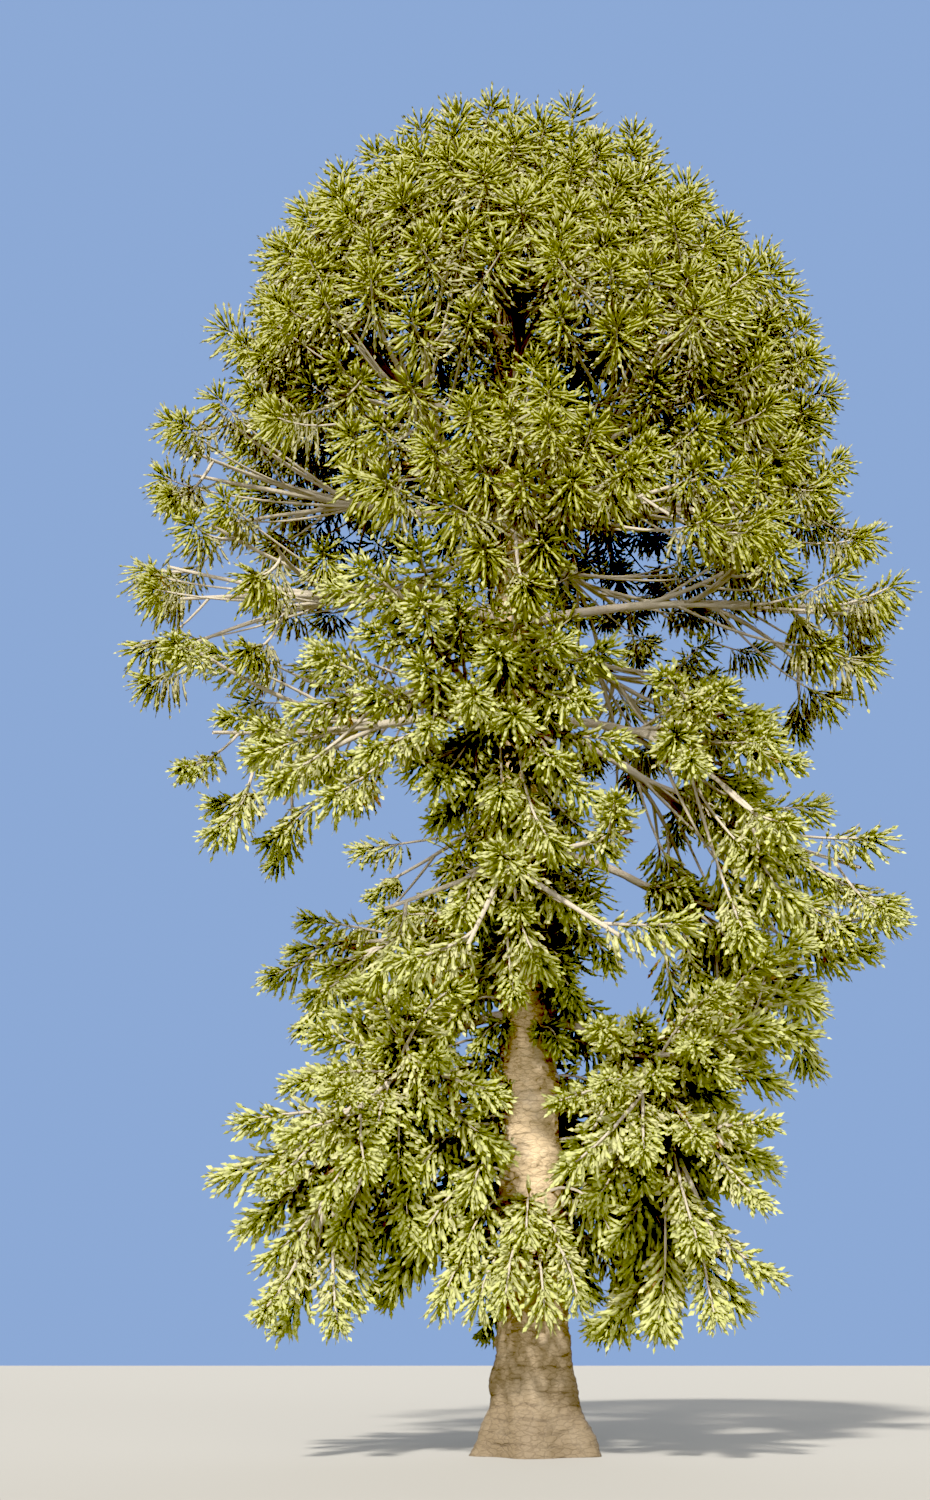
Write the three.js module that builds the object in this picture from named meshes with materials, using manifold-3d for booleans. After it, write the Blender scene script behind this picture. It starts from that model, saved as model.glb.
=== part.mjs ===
// Bunya pine: a full-grown tree about thirty metres tall, rooted in the ground.
// A straight trunk with a flared foot carries rings of limbs. Each limb is one bare bough that forks
// near the trunk. A fan of shoots goes on from the fork to the outside of the crown, where every shoot
// ends in a mop of rope-like sprays of leaves.
// Frame: millimetres, +Z up, origin at the middle of the flat cut under the trunk, the viewer at -Y.
import * as THREE from "three";
import { mergeVertices } from "three/addons/utils/BufferGeometryUtils.js";
import Module from "manifold-3d";

const metre = 1000;
const seatGap = 0.3; // clearance between two pieces that meet

const trunk = {
  height: 28.2 * metre,
  lean: -0.5 * metre, // sideways drift of the tip
  column: 0.6 * metre, // radius just above the flare, less the tip's radius
  tip: 0.06 * metre,
  fullness: 0.7, // below 1 the column stays thick and then runs out quickly
  flare: 0.48 * metre, // extra radius at the ground
  flareHeight: 0.9 * metre,
  roots: 5, // lobes of the foot
  rootDepth: 0.3, // how far the lobes stand out, as a share of the flare
  rootTurn: -0.5, // radians
  sides: 16,
  steps: 9,
  crowding: 1.8, // above 1 the steps are shorter towards the ground
};

const bough = {
  rootRadius: 0.15 * metre, // of a full-grown one
  forkRadius: 0.085 * metre,
  stagger: 0.5 * metre, // height between the lowest and the highest bough of a ring
  overlap: 0.02 * metre, // into the leading shoot, where bough and mass are one solid
  sides: 5,
};

const shoot = {
  rootRadius: 0.055 * metre, // of a side shoot
  neckRadius: 0.035 * metre, // where the mop of sprays begins
  coreRadius: 0.17 * metre, // the mop's slim core
  coreLength: 0.95 * metre,
  forward: 0.42, // where a shoot's line is bent, as a share of its length
  parting: 0.5, // how far a side shoot turns off to its own tip at once: 0 not at all, 1 all the way
  firstAt: 0.05, // the places where the side shoots leave the leading one, as shares of its length
  lastAt: 0.3,
  sides: 3,
};

// A spray stands on each face of a mop's core.
const spray = {
  length: 0.9 * metre,
  lean: 0.75, // towards the shoot's tip, against 1 straight out of the core
  thickness: 0.09 * metre, // half of its width near the core
  clearance: 0.03 * metre,
};

// How far the sprays reach from the trunk at each height: to the left (-X) and to the right (+X), in metres.
const crownOutline = [
  { height: 1.5, left: 5.8, right: 4.4 },
  { height: 3.2, left: 6.7, right: 5.6 },
  { height: 6.4, left: 6.2, right: 6.2 },
  { height: 9.4, left: 6.4, right: 8.3 },
  { height: 11.0, left: 7.4, right: 8.9 },
  { height: 13.2, left: 8.6, right: 6.6 },
  { height: 14.6, left: 9.2, right: 6.6 },
  { height: 16.0, left: 9.6, right: 8.9 },
  { height: 17.8, left: 9.8, right: 9.1 },
  { height: 20.6, left: 9.3, right: 8.0 },
  { height: 24.0, left: 7.9, right: 7.6 },
  { height: 26.8, left: 6.2, right: 6.3 },
  { height: 28.8, left: 4.2, right: 4.4 },
  { height: 30.6, left: 1.6, right: 1.8 },
];

// The rings of limbs, in metres and degrees. root is where a ring's lowest bough leaves the trunk. middle
// and lift are the heights that its masses cover, and tilt raises those on the right above those on the
// left. depth is where its inmost shoots end, as a share of the crown's reach. girth is its boughs'
// thickness against a full-grown one, bow bends them up, and hang is how much the sprays droop. fan is half
// the angle that each mass covers, shoots is the number on each, and turns are the boughs' bearings, from
// +X towards +Y. Where a ring is stemmed, its boughs are thin and each is one solid with its mass.
const rings = [
  { name: "crest", root: 25.0, middle: 27.4, lift: 1.6, tilt: 0, depth: 0.75, girth: 0.6, bow: -0.5,
    hang: 0.1, fan: 40, shoots: 5, turns: [-132, -42, 48, 138], stemmed: true },
  { name: "shoulder", root: 22.0, middle: 24.2, lift: 2.1, tilt: 0, depth: 0.75, girth: 0.8, bow: -0.4,
    hang: 0.2, fan: 34, shoots: 6, turns: [-88, -16, 56, 128, 200], stemmed: false },
  { name: "upper", root: 19.4, middle: 20.7, lift: 2.0, tilt: 0, depth: 0.7, girth: 1, bow: -0.1,
    hang: 0.35, fan: 29, shoots: 6, turns: [-120, -58, 2, 62, 122, 182], stemmed: false },
  { name: "middle", root: 16.8, middle: 17.0, lift: 2.0, tilt: 0, depth: 0.6, girth: 1, bow: 0.2,
    hang: 0.5, fan: 34, shoots: 6, turns: [-86, -16, 52, 124, 198], stemmed: false },
  { name: "lower", root: 14.2, middle: 12.4, lift: 1.9, tilt: -1, depth: 0.5, girth: 1, bow: 0.6,
    hang: 0.6, fan: 34, shoots: 6, turns: [-104, -39, 20, 98, 190], stemmed: false },
  { name: "apron", root: 11.2, middle: 9.0, lift: 1.5, tilt: 0, depth: 0.5, girth: 0.9, bow: 0.7,
    hang: 0.6, fan: 42, shoots: 6, turns: [-100, 8, 135], stemmed: false },
  { name: "skirt", root: 7.8, middle: 4.9, lift: 3.1, tilt: 0, depth: 0.5, girth: 0.9, bow: 0.9,
    hang: 0.65, fan: 48, shoots: 8, turns: [-36, 84, 200], stemmed: false },
];

// Tips nearer to each other than this move apart along the crown's surface.
const spacing = {
  least: 2.3 * metre,
  rounds: 12,
  step: 0.25, // the part of what is missing that each tip gives way in a round
};

// The mass at the very top: the height of its leading shoot, and how far out and down the last one ends.
const top = { name: "top", height: 29.6, reach: 1.7, fall: 1.1, hang: 0.05, shoots: 6 };

const forkShare = 0.3; // the part of the way to the crown's surface that the bare bough covers

const barkColour = new THREE.Color(0.34, 0.27, 0.21);
const boughColour = new THREE.Color(0.5, 0.43, 0.34);
const leafColour = new THREE.Color(0.2, 0.28, 0.09);

const up = new THREE.Vector3(0, 0, 1);
const goldenShare = (Math.sqrt(5) - 1) / 2;
const goldenAngle = 2 * Math.PI * (1 - goldenShare);
const degrees = THREE.MathUtils.degToRad;

// Repeatable random numbers from 0 to 1, a stream for each seed.
function randomStream(seed) {
  let state = Math.imul(seed + 1, 2654435761) >>> 0;
  return () => {
    state = (Math.imul(state, 1664525) + 1013904223) >>> 0;
    return state / 4294967296;
  };
}

function bearing(turn) {
  return new THREE.Vector3(Math.cos(degrees(turn)), Math.sin(degrees(turn)), 0);
}

function trunkAxis(height) {
  return new THREE.Vector3(trunk.lean * (height / trunk.height) ** 2, 0, height);
}

function trunkRadius(height, around) {
  const column = trunk.tip + trunk.column * Math.max(0, 1 - height / trunk.height) ** trunk.fullness;
  const lobes = 1 + trunk.rootDepth * Math.cos(trunk.roots * (around - trunk.rootTurn));
  return column + trunk.flare * Math.exp(-height / trunk.flareHeight) * lobes;
}

// The crown's reach at a height and bearing, between the left and right outlines.
function crownReach(height, turn) {
  const above = crownOutline.findIndex((row) => row.height * metre >= height);
  const high = crownOutline[above < 0 ? crownOutline.length - 1 : above];
  const low = crownOutline[Math.max(0, (above < 0 ? crownOutline.length : above) - 1)];
  const span = (high.height - low.height) * metre || 1;
  const share = THREE.MathUtils.clamp((height - low.height * metre) / span, 0, 1);
  const left = THREE.MathUtils.lerp(low.left, high.left, share);
  const right = THREE.MathUtils.lerp(low.right, high.right, share);
  return THREE.MathUtils.lerp(left, right, 0.5 + 0.5 * Math.cos(degrees(turn))) * metre;
}

// A place for a shoot's tip, whose sprays then reach the outline where share is 1.
function crownPoint(height, turn, share) {
  return bearing(turn)
    .multiplyScalar((crownReach(height, turn) - 0.55 * spray.length) * share)
    .setZ(height);
}

function moveVertices(geometry, move) {
  const position = geometry.getAttribute("position");
  const point = new THREE.Vector3();
  for (let i = 0; i < position.count; i++) {
    move(point.fromBufferAttribute(position, i));
    position.setXYZ(i, point.x, point.y, point.z);
  }
  return geometry;
}

function trunkGeometry(extra = 0) {
  const geometry = new THREE.CylinderGeometry(1, 1, 1, trunk.sides, trunk.steps).rotateX(Math.PI / 2);
  return moveVertices(geometry, (point) => {
    const height = trunk.height * (point.z + 0.5) ** trunk.crowding;
    const around = Math.atan2(point.y, point.x);
    const radius = Math.hypot(point.x, point.y) > 0.5 ? trunkRadius(height, around) + extra : 0;
    point.set(radius * Math.cos(around), radius * Math.sin(around), 0).add(trunkAxis(height));
  });
}

// The direction square to the plane that a curve bends in.
function acrossCurve(curve) {
  const bend = curve.v1.clone().sub(curve.v0).cross(curve.v2.clone().sub(curve.v1));
  const chord = curve.v2.clone().sub(curve.v0);
  const straight = bend.length() < 1e-3 * chord.lengthSq();
  return straight ? chord.cross(new THREE.Vector3(1, 0.3, 0.2)).normalize() : bend.normalize();
}

// A limb along a curve. Each station gives its radius at a share of the way from root to tip.
function limbGeometry(curve, sides, stations) {
  const steps = stations.length - 1;
  const pointed = stations[steps].radius === 0;
  const geometry = new THREE.CylinderGeometry(pointed ? 0 : 1, 1, 1, sides, steps);
  const side = acrossCurve(curve);
  return moveVertices(geometry, (point) => {
    const station = stations[Math.round((point.y + 0.5) * steps)];
    const radius = Math.hypot(point.x, point.z) > 1e-6 ? station.radius : 0;
    const around = Math.atan2(point.z, point.x);
    const lift = side.clone().cross(curve.getTangent(station.share));
    point
      .copy(curve.getPoint(station.share))
      .addScaledVector(side, radius * Math.cos(around))
      .addScaledVector(lift, radius * Math.sin(around));
  });
}

// A mass's leading shoot goes on from its limb. The side shoots leave it in turn, each to its own tip.
function planShoots(start, heading, rootRadius, tips) {
  const shootTo = (tip, from, direction, parting) => {
    const length = tip.distanceTo(from);
    const aim = direction.clone().lerp(tip.clone().sub(from).normalize(), parting);
    const control = from.clone().addScaledVector(aim, length * shoot.forward);
    return { line: new THREE.QuadraticBezierCurve3(from, control, tip), length };
  };
  const leading = { ...shootTo(tips[0], start, heading, 0), leading: true, rootRadius };
  const sideShoots = tips.slice(1).map((tip, i) => {
    const at = THREE.MathUtils.lerp(shoot.firstAt, shoot.lastAt, i / (tips.length - 2));
    const side = shootTo(tip, leading.line.getPoint(at), leading.line.getTangent(at), shoot.parting);
    return { ...side, leading: false, rootRadius: shoot.rootRadius };
  });
  return [leading, ...sideShoots];
}

// Where the shoots of one mass end: each tip's height, bearing and share of the crown's reach.
function planTips({ ring, place, seed }) {
  const random = randomStream(seed);
  const turn = ring.turns[place];
  const middle = ring.middle + ring.tilt * Math.cos(degrees(turn));
  return Array.from({ length: ring.shoots }, (_, i) => {
    const angle = i * goldenAngle + seed;
    const spread = Math.sqrt((i + 0.5) / ring.shoots);
    const inward = ((0.2 + i * goldenShare) % 1) ** 2;
    return {
      height: (middle + ring.lift * spread * Math.sin(angle)) * metre,
      turn: turn + ring.fan * spread * Math.cos(angle),
      share: THREE.MathUtils.lerp(1, ring.depth, inward) * (0.96 + 0.04 * random()),
    };
  });
}

function spreadTips(tips) {
  for (let round = 0; round < spacing.rounds; round++) {
    const points = tips.map((tip) => crownPoint(tip.height, tip.turn, tip.share));
    tips.forEach((tip, i) => {
      const move = new THREE.Vector3();
      points.forEach((point, k) => {
        const apart = points[i].clone().sub(point);
        const missing = spacing.least - apart.length();
        if (k !== i && missing > 0) move.add(apart.setLength(missing * spacing.step));
      });
      const reach = Math.hypot(points[i].x, points[i].y);
      const around = new THREE.Vector3(-points[i].y / reach, points[i].x / reach, 0);
      tip.height += move.z;
      tip.turn += THREE.MathUtils.radToDeg(move.dot(around) / reach);
    });
  }
}

// The bough's line from the trunk's axis to the fork, and the shoots' lines from there to the crown.
function planLimb({ ring, place, seed }, tips) {
  const turn = ring.turns[place];
  const count = ring.turns.length;
  const root = trunkAxis(ring.root * metre + (bough.stagger * ((place * 2) % count)) / count);
  const middle = ring.middle + ring.tilt * Math.cos(degrees(turn));
  const aim = crownPoint(middle * metre, turn, 1);
  const fork = root.clone().lerp(aim, forkShare).addScaledVector(up, ring.bow * metre * 0.5);
  const bend = root.clone().lerp(fork, 0.5).addScaledVector(up, ring.bow * metre * 0.5);
  const curve = new THREE.QuadraticBezierCurve3(root, bend, fork);
  const heading = curve.getTangent(1);
  const start = fork.clone().addScaledVector(heading, ring.stemmed ? -bough.overlap : seatGap);
  const points = tips.map((tip) => crownPoint(tip.height, tip.turn, tip.share));
  const shoots = planShoots(start, heading, bough.forkRadius * ring.girth, points);
  return { ring, name: `${ring.name}_${place + 1}`, seed, curve, shoots };
}

// The tree's own leading shoot, which goes on from the trunk's tip.
function planTop(seed) {
  const start = trunkAxis(trunk.height).addScaledVector(up, seatGap);
  const tips = Array.from({ length: top.shoots }, (_, i) => {
    const share = Math.sqrt(i / (top.shoots - 1));
    return trunkAxis(trunk.height)
      .addScaledVector(bearing(THREE.MathUtils.radToDeg(i * goldenAngle)), share * top.reach * metre)
      .setZ((top.height - top.fall * share) * metre);
  });
  return { ring: top, name: top.name, seed, shoots: planShoots(start, up, trunk.tip, tips) };
}

// The share of a shoot where its mop begins.
function neckShare(shootPlan) {
  return 1 - shoot.coreLength / shootPlan.length;
}

function shootStations(shootPlan) {
  const neck = neckShare(shootPlan);
  const halfway = { share: neck / 2, radius: (shootPlan.rootRadius + shoot.neckRadius) / 2 };
  return [
    { share: 0, radius: shootPlan.rootRadius },
    ...(shootPlan.leading ? [halfway] : []),
    { share: neck, radius: shoot.neckRadius },
    { share: THREE.MathUtils.lerp(neck, 1, 0.35), radius: shoot.coreRadius },
    { share: THREE.MathUtils.lerp(neck, 1, 0.7), radius: shoot.coreRadius * 0.9 },
    { share: 1, radius: 0 },
  ];
}

function mopCentre(shootPlan) {
  return shootPlan.line.getPoint((1 + neckShare(shootPlan)) / 2);
}

// A spray stays nearer to the mops of its own mass than to any other.
function keepsToItsSpace(points, owner, mops) {
  const own = mops.filter((mop) => mop.owner === owner);
  const others = mops.filter((mop) => mop.owner !== owner);
  const nearest = (point, some) => Math.min(...some.map((mop) => point.distanceTo(mop.centre)));
  const margin = 2 * (spray.thickness + spray.clearance);
  return points.every((point) => nearest(point, own) + margin < nearest(point, others));
}

function clearOfLimbs(points, owner, limbs) {
  const step = new THREE.Line3();
  return points.slice(1).every((point, i) => {
    step.set(points[i], point);
    return limbs.every((limb) => {
      const least = spray.thickness + limb.radius + spray.clearance;
      return limb.owner === owner || step.distanceSqToLine3(limb.line) >= least * least;
    });
  });
}

function limbSegments(curve, owner, radius) {
  const points = curve.getPoints(6);
  return points.slice(1).map((point, i) => ({ owner, radius, line: new THREE.Line3(points[i], point) }));
}

function trunkSegments() {
  const heights = Array.from({ length: 20 }, (_, i) => (trunk.height * i) / 20);
  return heights.map((height) => ({
    owner: null,
    radius: trunkRadius(height, trunk.rootTurn),
    line: new THREE.Line3(trunkAxis(height), trunkAxis(height + trunk.height / 20)),
  }));
}

// Raises a spray on each face of a shoot's core, where mayGrow allows its line.
function raiseSprays(geometry, shootPlan, hang, random, mayGrow) {
  const vertices = Array.from(geometry.getAttribute("position").array);
  const corner = (i) => new THREE.Vector3().fromArray(vertices, 3 * i);
  const onCore = (i) => corner(i).distanceTo(shootPlan.line.v2) < 1.2 * shoot.coreLength;
  const heading = shootPlan.line.getTangent(1);
  const faces = [];
  for (let face = 0; face < geometry.index.count / 3; face++) {
    const corners = [0, 1, 2].map((k) => geometry.index.getX(3 * face + k));
    const middle = corners.reduce((sum, i) => sum.add(corner(i)), new THREE.Vector3()).divideScalar(3);
    const outward = middle.clone().sub(mopCentre(shootPlan));
    outward.addScaledVector(heading, -outward.dot(heading)).normalize();
    const direction = outward.addScaledVector(heading, spray.lean).addScaledVector(up, -hang);
    direction.setLength(spray.length * (0.8 + 0.4 * random()));
    const points = [0, 0.35, 0.7, 1].map((share) => middle.clone().addScaledVector(direction, share));
    if (corners.every(onCore) && mayGrow(points)) {
      const tip = vertices.length / 3;
      vertices.push(...points[3].toArray());
      corners.forEach((i, k) => faces.push(i, corners[(k + 1) % 3], tip));
    } else {
      faces.push(...corners);
    }
  }
  const raised = new THREE.BufferGeometry();
  raised.setAttribute("position", new THREE.Float32BufferAttribute(vertices, 3));
  return raised.setIndex(faces);
}

const wasm = await Module();
wasm.setup();

function withSharedVertices(geometry) {
  geometry.deleteAttribute("normal");
  geometry.deleteAttribute("uv");
  return mergeVertices(geometry, 0.01);
}

function solidOf(geometry) {
  const shared = withSharedVertices(geometry);
  const mesh = new wasm.Mesh({
    numProp: 3,
    vertProperties: new Float32Array(shared.getAttribute("position").array),
    triVerts: new Uint32Array(shared.index.array),
  });
  return new wasm.Manifold(mesh);
}

function meshOf(name, solid, colour, roughness) {
  const { vertProperties, triVerts } = solid.getMesh();
  const geometry = new THREE.BufferGeometry();
  geometry.setAttribute("position", new THREE.BufferAttribute(vertProperties, 3));
  geometry.setIndex(new THREE.BufferAttribute(triVerts, 1));
  geometry.computeVertexNormals();
  const material = new THREE.MeshStandardMaterial({ color: colour, roughness, metalness: 0 });
  const mesh = new THREE.Mesh(geometry, material);
  mesh.name = name;
  return mesh;
}

// The largest of the bodies that a union leaves.
function mainBody(solid) {
  const bodies = solid.decompose();
  return bodies.reduce((best, body) => (body.volume() > best.volume() ? body : best));
}

function limbSolid(plan) {
  const stations = [0, 0.5, 1].map((share) => ({
    share,
    radius: THREE.MathUtils.lerp(bough.rootRadius, bough.forkRadius, share) * plan.ring.girth,
  }));
  return solidOf(limbGeometry(plan.curve, bough.sides, stations));
}

function boughSolid(plan, grownTrunk) {
  return mainBody(limbSolid(plan).subtract(grownTrunk));
}

function massSolid(plan, grownTrunk, mops, limbs) {
  const random = randomStream(plan.seed + 500);
  const mayGrow = (points) => keepsToItsSpace(points, plan, mops) && clearOfLimbs(points, plan, limbs);
  const parts = plan.shoots.map((shootPlan) => {
    const limb = withSharedVertices(limbGeometry(shootPlan.line, shoot.sides, shootStations(shootPlan)));
    return solidOf(raiseSprays(limb, shootPlan, plan.ring.hang, random, mayGrow));
  });
  if (plan.ring.stemmed) parts.push(limbSolid(plan));
  const mass = wasm.Manifold.union(parts);
  return mainBody(plan.ring.stemmed ? mass.subtract(grownTrunk) : mass);
}

const places = rings.flatMap((ring, r) =>
  ring.turns.map((_, place) => ({ ring, place, seed: 10 * r + place })),
);
const tips = places.map(planTips);
spreadTips(tips.flat());
const plans = places.map((place, i) => planLimb(place, tips[i]));
plans.push(planTop(90));
const mops = plans.flatMap((plan) =>
  plan.shoots.map((shootPlan) => ({ owner: plan, centre: mopCentre(shootPlan) })),
);
const limbs = plans.flatMap((plan) => [
  ...(plan.curve ? limbSegments(plan.curve, plan, bough.rootRadius) : []),
  ...plan.shoots.flatMap((shootPlan) => limbSegments(shootPlan.line, plan, shoot.neckRadius)),
]);
limbs.push(...trunkSegments());

const tree = new THREE.Group();
tree.add(meshOf("trunk", solidOf(trunkGeometry()), barkColour, 0.95));
const grownTrunk = solidOf(trunkGeometry(seatGap));

for (const plan of plans) {
  const bare = plan.curve && !plan.ring.stemmed;
  if (bare) tree.add(meshOf(`bough_${plan.name}`, boughSolid(plan, grownTrunk), boughColour, 0.9));
  tree.add(meshOf(`foliage_${plan.name}`, massSolid(plan, grownTrunk, mops, limbs), leafColour, 0.8));
}

export default tree;
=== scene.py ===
import math

import bpy
import numpy as np
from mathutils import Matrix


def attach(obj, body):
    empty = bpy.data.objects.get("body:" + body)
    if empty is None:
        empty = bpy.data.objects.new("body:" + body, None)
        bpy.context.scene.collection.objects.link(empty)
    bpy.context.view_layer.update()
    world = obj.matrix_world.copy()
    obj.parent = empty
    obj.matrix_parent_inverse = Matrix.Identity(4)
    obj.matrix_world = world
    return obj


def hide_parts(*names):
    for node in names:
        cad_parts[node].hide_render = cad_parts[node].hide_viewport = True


# Bunya pine: bark, limbs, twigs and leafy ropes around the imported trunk, boughs and masses.
# Metres, +Z up, the viewer at -Y.

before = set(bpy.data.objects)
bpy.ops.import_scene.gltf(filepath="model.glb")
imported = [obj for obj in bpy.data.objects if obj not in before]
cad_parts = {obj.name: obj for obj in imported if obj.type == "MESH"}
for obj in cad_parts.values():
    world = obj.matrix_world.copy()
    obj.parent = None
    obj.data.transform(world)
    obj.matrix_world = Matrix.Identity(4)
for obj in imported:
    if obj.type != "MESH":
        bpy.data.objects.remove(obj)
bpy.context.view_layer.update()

up = np.array([0.0, 0.0, 1.0])
goldenShare = (math.sqrt(5) - 1) / 2
goldenAngle = 2 * math.pi * (1 - goldenShare)


# small helpers

def newObject(name, data):
    made = bpy.data.objects.new(name, data)
    bpy.context.scene.collection.objects.link(made)
    return made


def lerp(a, b, share):
    return a + (b - a) * share


def unit(vectors):
    return vectors / np.maximum(np.linalg.norm(vectors, axis=-1, keepdims=True), 1e-9)


def bearing(turn):
    return np.array([math.cos(math.radians(turn)), math.sin(math.radians(turn)), 0.0])


def evenTurns(count):
    return np.arange(count) * 2 * math.pi / count


def onCurve(line, share):
    start, control, end = line
    share = np.asarray(share)[..., None]
    return start * (1 - share) ** 2 + control * 2 * share * (1 - share) + end * share ** 2


def curveHeading(line, share):
    start, control, end = line
    share = np.asarray(share)[..., None]
    return unit((control - start) * (1 - share) + (end - control) * share)


def randomStream(seed):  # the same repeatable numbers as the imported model's own layout
    state = (seed + 1) * 2654435761 % 2 ** 32

    def draw():
        nonlocal state
        state = (state * 1664525 + 1013904223) % 2 ** 32
        return state / 2 ** 32

    return draw


# camera, light and floor

viewer = {
    "place": (-1.31, -29.5, 1.6),
    "pitch": 22.7,  # degrees above the level
    "lens": 35.0,
    "farthest": 2000.0,
}

light = {
    # each lamp's bearing from +X towards +Y, height, strength, degrees across and colour
    "key": (-104.0, 36.0, 12.6, 4.0, (1.0, 0.93, 0.81)),
    "front": (-92.0, 3.0, 6.6, 80.0, (1.0, 0.97, 0.92)),
    "rear": (80.0, 28.0, 1.6, 80.0, (0.9, 0.95, 1.0)),
    "fillStrength": 0.14,
    "fillColour": (0.74, 0.84, 1.0),
    "backdrop": (0.15, 0.26, 0.55),
    "transform": "Standard",
    "gamma": 1.55,
    "blackLevel": 0.024,
    "floorSize": 900.0,
    "floorColour": (0.17, 0.166, 0.153),
    "floorRoughness": 0.9,
}


def makeCamera():
    camera = newObject("camera", bpy.data.cameras.new("camera"))
    camera.data.lens = viewer["lens"]
    camera.data.clip_end = viewer["farthest"]
    camera.location = viewer["place"]
    camera.rotation_euler = (math.radians(90 + viewer["pitch"]), 0, 0)
    bpy.context.scene.camera = camera


def makeLight():
    for name in ("key", "front", "rear"):
        turn, height, strength, softness, colour = light[name]
        sun = newObject(name, bpy.data.lights.new(name, "SUN"))
        sun.data.energy = strength
        sun.data.angle = math.radians(softness)
        sun.data.color = colour
        sun.rotation_euler = (math.radians(90 - height), 0, math.radians(turn + 90))
    world = bpy.data.worlds.new("studio")
    world.use_nodes = True
    tree = world.node_tree
    fill = tree.nodes["Background"]
    feed(tree, fill.inputs["Color"], (*light["fillColour"], 1))
    feed(tree, fill.inputs["Strength"], light["fillStrength"])
    seen = addNode(tree, "ShaderNodeBackground", Color=(*light["backdrop"], 1))
    path = addNode(tree, "ShaderNodeLightPath")
    shown = (path.outputs["Is Camera Ray"], fill.outputs[0], seen.outputs[0])
    feed(tree, tree.nodes["World Output"].inputs["Surface"], addInOrder(tree, "ShaderNodeMixShader", shown))
    bpy.context.scene.world = world
    view = bpy.context.scene.view_settings
    view.view_transform = light["transform"]
    view.gamma = light["gamma"]
    view.use_curve_mapping = True
    view.curve_mapping.black_level = (light["blackLevel"],) * 3
    view.curve_mapping.update()


def makeFloor():
    half = light["floorSize"] / 2
    mesh = bpy.data.meshes.new("floor")
    corners = [(-half, -half, 0), (half, -half, 0), (half, half, 0), (-half, half, 0)]
    mesh.from_pydata(corners, [], [(0, 1, 2, 3)])
    material = bpy.data.materials.new("paleFloor")
    material.use_nodes = True
    shader = material.node_tree.nodes["Principled BSDF"]
    shader.inputs["Roughness"].default_value = light["floorRoughness"]
    shader.inputs["Base Color"].default_value = (*light["floorColour"], 1)
    mesh.materials.append(material)
    newObject("floor", mesh)


# node groups and materials

def newGroup(name, inputs):  # takes what inputs names, and puts out a colour, a roughness and a height
    group = bpy.data.node_groups.new(name, "ShaderNodeTree")
    kinds = {tuple: "NodeSocketColor", float: "NodeSocketFloat"}
    for socketName, value in inputs.items():
        socket = group.interface.new_socket(name=socketName, in_out="INPUT", socket_type=kinds[type(value)])
        socket.default_value = value
    for socketName, kind in (("Color", tuple), ("Roughness", float), ("Height", float)):
        group.interface.new_socket(name=socketName, in_out="OUTPUT", socket_type=kinds[kind])
    return group, group.nodes.new("NodeGroupInput").outputs, group.nodes.new("NodeGroupOutput").inputs


def feed(tree, socket, value):  # links another node's output, or sets the value on the socket itself
    if isinstance(value, bpy.types.NodeSocket):
        tree.links.new(value, socket)
    else:
        socket.default_value = value


def addNode(tree, kind, settings=None, **values):
    node = tree.nodes.new(kind)
    for name, value in (settings or {}).items():
        setattr(node, name, value)
    for name, value in values.items():
        feed(tree, node.inputs[name], value)
    return node


def addNoise(tree, place, values):
    return addNode(tree, "ShaderNodeTexNoise", Vector=place, **values).outputs


def addInOrder(tree, kind, values, settings=None):  # feeds a node's inputs in their own order
    node = addNode(tree, kind, settings)
    for socket, value in zip(node.inputs, values):
        feed(tree, socket, value)
    return node.outputs[0]


def addMath(tree, operation, *values, kind="ShaderNodeMath"):
    return addInOrder(tree, kind, values, {"operation": operation})


def addMix(tree, share, first, second):
    node = addNode(tree, "ShaderNodeMix", {"data_type": "RGBA"}, Factor=share, A=first, B=second)
    return node.outputs["Result"]


def addRange(tree, value, low, high, toLow=0.0, toHigh=1.0):
    limits = {"From Min": low, "From Max": high, "To Min": toLow, "To Max": toHigh}
    return addNode(tree, "ShaderNodeMapRange", Value=value, **limits).outputs["Result"]


def stretchedPlace(tree, upward=1.0):  # object coordinates, with the height scaled by upward
    place = addNode(tree, "ShaderNodeTexCoord")
    scale = (1.0, 1.0, upward)
    return addNode(tree, "ShaderNodeMapping", Vector=place.outputs["Object"], Scale=scale).outputs["Vector"]


# ranges are from two values to 0 and 1, or to the two values after them
barkPattern = {
    "flatness": 2.6,              # plates and grain are this much wider than they are tall
    "warp": {"Scale": 5.0, "Detail": 3.0},
    "warpDepth": 0.16,
    "plateGap": 0.12,             # width of the gaps between plates
    "rings": {"Scale": 1.5, "Distortion": 4.0, "Detail": 3.0, "Detail Scale": 1.6},
    "ringLine": (0.22, 0.05),
    "breaks": {"Scale": 2.6, "Detail": 3.0},
    "breakRange": (0.42, 0.58),   # where the level cracks come and go
    "grain": {"Scale": 42.0, "Detail": 6.0, "Roughness": 0.65},
    "grainHeight": 0.6,
    "grainTone": (0.35, 0.6, 0.72, 1.0),
    # painted shade: the bark is darker where its relief is lower, in plate gaps and ring cracks
    "paintedCrackShade": (0.1, 1.4),
    "paintedFootHeights": (0.6, 4.5),    # painted light: the darker foot ends between these heights, and the bark above is painted lighter for sun on the middle trunk
    "patch": {"Scale": 1.7, "Detail": 5.0, "Roughness": 0.6},
    "patchRange": (0.48, 0.66),
    "roughness": (0.0, 1.6, 0.95, 0.72),
}


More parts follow.
